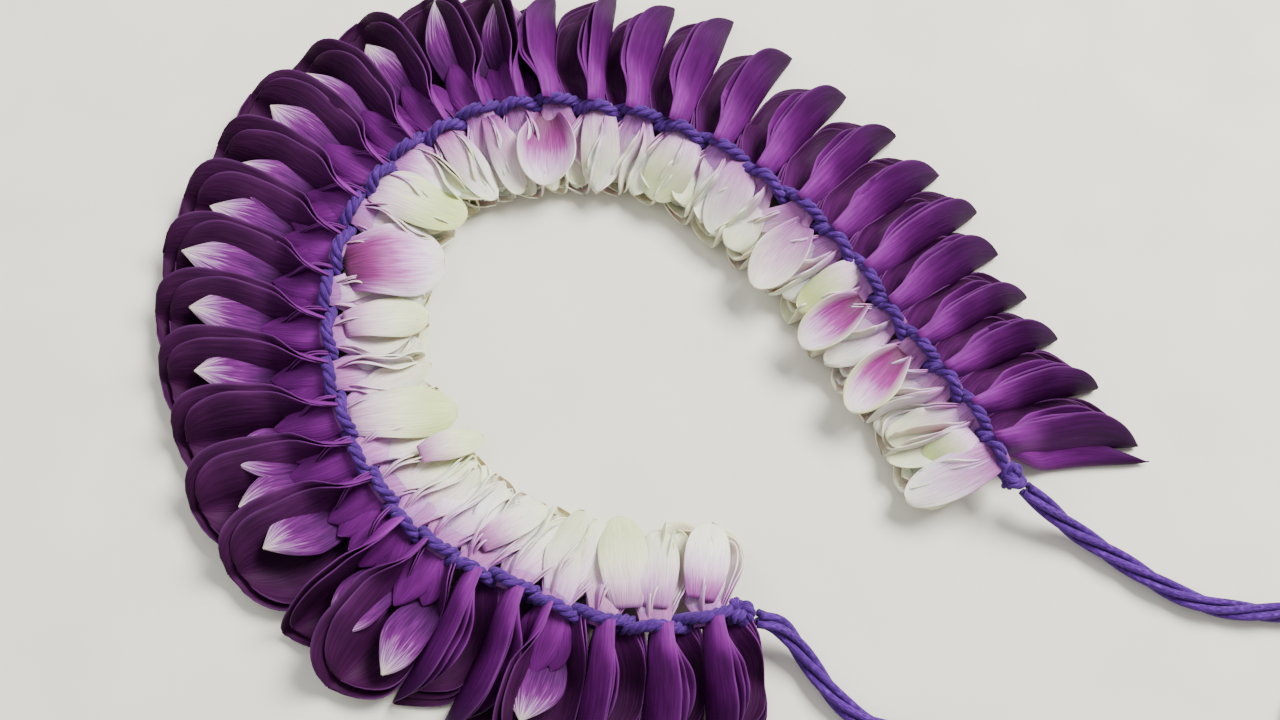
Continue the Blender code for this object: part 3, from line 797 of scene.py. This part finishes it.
# broad faces that lie over the white bases: base, tip, half width, section, green and flush
CUP = (-84, -30, 84, 30)
SHIELD = (-86, -112, 86, 112)
FACES = [
    ((-16.2, 35.2), (-16.4, 24.6), 5.2, CUP, 0.0, 1.0),
    ((-44.2, 10.9), (-30.5, 13.7), 5.6, SHIELD, 0.0, 0.9),
    ((-41.0, 23.0), (-27.6, 19.9), 3.8, SHIELD, 1.0, 0.0),
    ((-42.7, -11.0), (-28.0, -8.6), 3.7, SHIELD, 0.9, 0.0),
    ((-4.5, -36.2), (-5.3, -23.3), 3.5, SHIELD, 0.7, 0.0),
    ((4.6, 32.1), (-0.7, 23.4), 3.5, SHIELD, 0.8, 0.0),
    ((28.9, 12.8), (20.4, 7.1), 2.5, SHIELD, 1.0, 0.0),
    ((44.0, -11.6), (38.1, -16.5), 3.2, SHIELD, 1.0, 0.0),
    ((48.4, -14.1), (34.9, -20.5), 3.2, SHIELD, 0.0, 0.35),
    ((21.3, 19.0), (13.8, 9.9), 4.2, CUP, 0.3, 0.3),
    ((29.2, 7.8), (20.3, 1.3), 3.9, CUP, 0.7, 1.0),
    ((34.7, 0.3), (26.8, -8.0), 4.1, CUP, 0.9, 1.0),
    ((-38.0, 27.4), (-27.3, 24.2), 2.4, SHIELD, 0.1, 0.1),
    ((-31.7, 32.2), (-23.6, 22.8), 2.4, SHIELD, 0.0, 0.2),
    ((-24.6, 34.3), (-20.0, 23.7), 2.2, SHIELD, 0.0, 0.3),
    ((-0.7, -36.1), (0.3, -25.2), 2.9, SHIELD, 0.4, 0.1),
    ((5.4, -35.0), (7.5, -24.0), 3.2, SHIELD, 0.0, 0.0),
    ((12.7, 28.1), (8.1, 18.2), 3.2, SHIELD, 0.2, 0.2),
    ((-8.6, 36.9), (-8.4, 24.8), 2.9, SHIELD, 0.5, 0.1),
    ((-32.8, -15.7), (-24.3, -12.4), 2.1, SHIELD, 0.6, 0.0),
    ((-24.3, -27.9), (-15.4, -21.9), 2.1, SHIELD, 0.2, 0.1),
    ((-43.8, 2.5), (-32.4, 5.1), 2.9, SHIELD, 0.5, 0.0),
]


# how a cup and a shield lie: width at the base, heights at base and tip, and rise between them
CUP_LIE = (0.42, 6.9, 5.6, 0.2)
SHIELD_LIE = (0.6, 7.6, 4.2, 0.9)

# a shield with more than this half width rises more, by this much for each millimetre
NARROW_SHIELD = 2.5
WIDE_SHIELD_RISE = 0.25

# the lowest that a face's rim comes down, and the height of its ripple
FACE_CLEAR = 0.5
FACE_RIPPLE = 0.4


def face_petal(gather, draw, base, tip, width, angles, green, blush):
    """A broad white petal that lies over the others, from beside the thread to its blunt tip."""
    waist, start, end, rise = CUP_LIE if angles is CUP else SHIELD_LIE
    if angles is SHIELD:
        rise += WIDE_SHIELD_RISE * max(0, width - NARROW_SHIELD)
    base, tip = np.array(base), np.array(tip)
    length = np.linalg.norm(tip - base)
    ahead = (tip - base) / length
    beside = np.array([-ahead[1], ahead[0]])
    half = width * tip_width(ALONG, 0.55, waist, 0.5)
    side, up = section(half, [np.full(PETAL_ROWS, float(angle)) for angle in angles])
    ridge = mix(start, end, smoothstep(0.1, 1, ALONG)) + rise * np.sin(math.pi * ALONG)
    ripple = np.sin(ALONG * 8 + draw.uniform(0, 6))[:, None] * ACROSS[None, :] ** 3
    up = up + FACE_RIPPLE * ripple + ridge[:, None]
    flat = base + (ALONG * length)[:, None, None] * ahead + side[..., None] * beside
    grid = np.concatenate([flat, np.maximum(up, FACE_CLEAR)[..., None]], axis=-1)
    along = np.broadcast_to(ALONG[:, None], side.shape)
    across = np.broadcast_to(ACROSS[None, :], side.shape)
    gather.sheet(grid, BASE, along, across, 0.0, tint=draw.random(), green=green, blush=blush)


def face_bunch(base):
    """The bunch whose tie is nearest to a face petal's base."""
    gaps = [np.linalg.norm(spine_point(row[0]) - np.array(base)) for row in BUNCHES]
    return int(np.argmin(gaps))


# each bunch draws its own chances from this number on
FIRST_SEED = 4100


def petal_bunches(materials):
    """One piece for each bunch, with all its petals."""
    for index in range(len(BUNCHES)):
        draw = random.Random(FIRST_SEED + index)
        gather = Gather()
        outward_petals(gather, index, draw)
        inward_petals(gather, index, draw)
        for face in FACES:
            if face_bunch(face[0]) == index:
                face_petal(gather, draw, *face)
        obj = gather.make(f"bunch_petals_{index + 1:02d}", materials)
        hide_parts(f"petal_bunch_{index + 1:02d}")
        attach(obj, "root")


# thread and tails

# how a yarn's plies are laid: their radius, how far from its middle, how many, and one turn's length
Lay = namedtuple("Lay", "radius offset plies pitch")
STRAND_LAY = Lay(0.46, 0.44, 3, 4.4)
KNOT_LAY = Lay(0.46, 0.42, 3, 3.0)
TAIL_LAY = Lay(0.56, 0.88, 4, 30.0)
TAIL_CORE_LAY = Lay(0.5, 0.25, 1, 9.0)
END_KNOT_LAY = Lay(0.46, 0.42, 3, 5.0)
PLY_SIDES = 8
PLY_TINT = 3.7

# a strand's rise over and under the bunches, how far it swings aside between them, and how far it
# always keeps to its own side
STRAND_RISE = 2.3
STRAND_ASIDE = 0.42
STRAND_APART = 0.12
STRAND_STEPS = 10

# the knots: a third of half their breadth, how deep their wraps lie, and how far the tail's own
# knot is raised
KNOT_SIZE = 0.47
KNOT_DEPTH = 0.8
END_KNOT_SIZE = 0.62
END_KNOT_DEPTH = 0.9
END_KNOT_RISE = 0.15
KNOT_STEPS = 90

# the spacing of a tail's points, and its one turn of spare length: how far round it goes, and the
# share of it over which it takes up the coil's radius
TAIL_STEP = 0.8
COIL_TURN = math.radians(345)
COIL_STEPS = 48
COIL_SETTLES = (0, 0.3)


def resample(points, step):
    """Points spaced evenly along a line, about this far apart."""
    points = np.asarray(points, float)
    run = run_along(points)
    count = max(int(run[-1] / step), 4)
    at = np.linspace(0, run[-1], count)
    return np.stack([np.interp(at, run, points[:, k]) for k in range(3)], axis=1)


def twisted(gather, route, lay, tint, phase=0.0):
    """Plies of yarn laid round a route in an even twist."""
    route = np.asarray(route)
    forward = np.gradient(route, axis=0)
    forward /= np.linalg.norm(forward, axis=1, keepdims=True)
    run = run_along(route)
    side = np.cross(forward[0], (0, 0, 1.0))
    sides_along, ups_along = [], []
    for ahead in forward:
        side = side - ahead * side.dot(ahead)
        side /= np.linalg.norm(side)
        sides_along.append(side)
        ups_along.append(np.cross(side, ahead))
    sides_along, ups_along = np.array(sides_along), np.array(ups_along)
    for ply in range(lay.plies):
        angle = 2 * math.pi * (run / lay.pitch + ply / lay.plies) + phase
        points = route + lay.offset * (
            np.cos(angle)[:, None] * sides_along + np.sin(angle)[:, None] * ups_along
        )
        gather.tube(points, lay.radius, PLY_SIDES, 0, tint=tint + ply * PLY_TINT)


def strand_route(way):
    """One strand of the twined thread, over one bunch and under the next."""
    places = [row[0] for row in BUNCHES]
    places = [2 * places[0] - places[1]] + places + [2 * places[-1] - places[-2]]
    points = []
    for number, (a, b) in enumerate(zip(places, places[1:])):
        flip = (-1) ** number
        for step in range(STRAND_STEPS):
            t = step / STRAND_STEPS
            run = a + (b - a) * t
            if not KNOT_PLACES[0] < run < KNOT_PLACES[1]:
                continue
            along = spine_direction(run)
            rise = STRAND_RISE * flip * math.cos(math.pi * t)
            lean = STRAND_ASIDE * math.sin(math.pi * t) ** 2 + STRAND_APART
            spot = spine_point(run) + way * lean * np.array([-along[1], along[0]])
            points.append((spot[0], spot[1], TIE_HEIGHT + way * rise))
    return smooth_curve(points, 2)


def knot_route(centre, along, turn, size, depth):
    """An overhand knot's wraps round a thread or a tail that runs along this way."""
    ahead = np.array([along[0], along[1], 0])
    beside = np.array([-along[1], along[0], 0])
    up = np.array([0, 0, 1])
    leaning = beside * math.cos(turn) + up * math.sin(turn)
    facing = up * math.cos(turn) - beside * math.sin(turn)
    points = []
    for step in range(KNOT_STEPS + 1):
        t = step / KNOT_STEPS * 2 * math.pi
        x = math.sin(t) + 2 * math.sin(2 * t)
        y = math.cos(t) - 2 * math.cos(2 * t)
        z = -math.sin(3 * t)
        points.append(centre + size * x * ahead + size * y * leaning + depth * z * facing)
    return np.array(points)


def binding_thread(material):
    """Two strands twined through the garland, and the overhand knot at each end."""
    gather = Gather()
    for number, way in enumerate((-1, 1)):
        twisted(gather, strand_route(way), STRAND_LAY, 10.0 * number)
    for number, place in enumerate(KNOT_PLACES):
        centre = np.array([*spine_point(place), TIE_HEIGHT])
        wraps = knot_route(centre, spine_direction(place), 0.5 + number, KNOT_SIZE, KNOT_DEPTH)
        twisted(gather, wraps, KNOT_LAY, 40.0 + 5 * number)
    obj = gather.make("twined_thread", [material])
    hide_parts("binding_thread")
    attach(obj, "root")


def tail_route(knot_place, points, coil_centre):
    """The tail's centreline from its knot to the floor, then one turn of its spare length."""
    knot = np.array([*spine_point(knot_place), TIE_HEIGHT])
    away = np.array(points[0]) - knot
    start = knot + away / np.linalg.norm(away) * (KNOT_RADIUS + THREAD_GAP)
    shown = smooth_curve([start] + points, 3)
    join = shown[-1][:2] - np.array(coil_centre)
    angle, outside = math.atan2(join[1], join[0]), np.linalg.norm(join)
    turns = []
    for step in range(1, COIL_STEPS + 1):
        t = step / COIL_STEPS
        radius = mix(outside, COIL_RADIUS, smoothstep(*COIL_SETTLES, t))
        here = angle - COIL_TURN * t
        turns.append((
            coil_centre[0] + radius * math.cos(here), coil_centre[1] + radius * math.sin(here),
            TAIL_DIAMETER / 2,
        ))
    return np.concatenate([shown, np.array(turns)]), start


def free_tail(name, knot_place, points, coil_centre, material):
    """A tail of loosely twisted yarns, from the thread's knot to a knot at its own end."""
    route, start = tail_route(knot_place, points, coil_centre)
    fine = resample(smooth_curve(route, 2), TAIL_STEP)
    gather = Gather()
    twisted(gather, fine, TAIL_LAY, 20.0, phase=0.4)
    twisted(gather, fine, TAIL_CORE_LAY, 60.0)
    along = (route[-2] - route[-4])[:2]
    centre = route[-3] + np.array([0, 0, END_KNOT_RISE])
    wraps = knot_route(centre, along / np.linalg.norm(along), 0.0, END_KNOT_SIZE, END_KNOT_DEPTH)
    twisted(gather, wraps, END_KNOT_LAY, 90.0)
    obj = gather.make(f"{name}_yarns", [material])
    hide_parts(name, f"{name}_coil")
    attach(obj, "root")


# camera, light and floor

# the soft lights: place and width in metres, power in watts and colour
LIGHTS = {
    "window": ((0.45, 0.40, 0.75), 0.42, 25.0, (1.0, 0.985, 0.95)),
    "fill": ((-0.55, 0.25, 0.7), 0.9, 4.0, (0.97, 0.98, 1.0)),
}
SKY_COLOUR = (1.0, 0.99, 0.97, 1)
SKY_STRENGTH = 0.55

# in metres: half the floor's width, and how far it lies below the garland
FLOOR_HALF_WIDTH = 2.0
FLOOR_DROP = 0.0002


def camera():
    """The camera that the photograph was taken with, as it was fitted to the picture."""
    data = bpy.data.cameras.new("camera")
    data.lens = CAMERA_LENS
    data.sensor_width = SENSOR_WIDTH
    obj = bpy.data.objects.new("camera", data)
    right, up = Vector(CAMERA_RIGHT), Vector(CAMERA_UP)
    back = right.cross(up)
    obj.matrix_world = Matrix((
        (right.x, up.x, back.x, CAMERA_AT[0] * MM), (right.y, up.y, back.y, CAMERA_AT[1] * MM),
        (right.z, up.z, back.z, CAMERA_AT[2] * MM), (0, 0, 0, 1),
    ))
    bpy.context.scene.collection.objects.link(obj)
    bpy.context.scene.camera = obj


def area_light(name, place, size, power, colour):
    """A soft square light that faces the garland."""
    data = bpy.data.lights.new(name, "AREA")
    data.size, data.energy, data.color = size, power, colour
    obj = bpy.data.objects.new(name, data)
    obj.location = place
    obj.rotation_euler = (Vector((0, 0, 0)) - obj.location).to_track_quat("-Z", "Y").to_euler()
    bpy.context.scene.collection.objects.link(obj)


def light_and_floor():
    """The studio round the garland: two lights, a pale sky and a plain floor."""
    for name, values in LIGHTS.items():
        area_light(name, *values)
    world = bpy.data.worlds.new("studio")
    world.use_nodes = True
    world.node_tree.nodes["Background"].inputs[0].default_value = SKY_COLOUR
    world.node_tree.nodes["Background"].inputs[1].default_value = SKY_STRENGTH
    bpy.context.scene.world = world
    size = FLOOR_HALF_WIDTH
    corners = [(-size, -size, 0), (size, -size, 0), (size, size, 0), (-size, size, 0)]
    mesh = bpy.data.meshes.new("floor")
    mesh.from_pydata(corners, [], [(0, 1, 2, 3)])
    mesh.materials.append(floor_material())
    floor = bpy.data.objects.new("floor", mesh)
    floor.location = (0, 0, -FLOOR_DROP)
    bpy.context.scene.collection.objects.link(floor)


camera()
yarn = thread_material()
free_tail("tail_a", KNOT_PLACES[1], TAIL_A_POINTS, TAIL_A_COIL, yarn)
free_tail("tail_b", KNOT_PLACES[0], TAIL_B_POINTS, TAIL_B_COIL, yarn)
light_and_floor()
binding_thread(yarn)
petal_bunches([purple_material(), sepal_material(), base_material()])

bpy.context.view_layer.update()
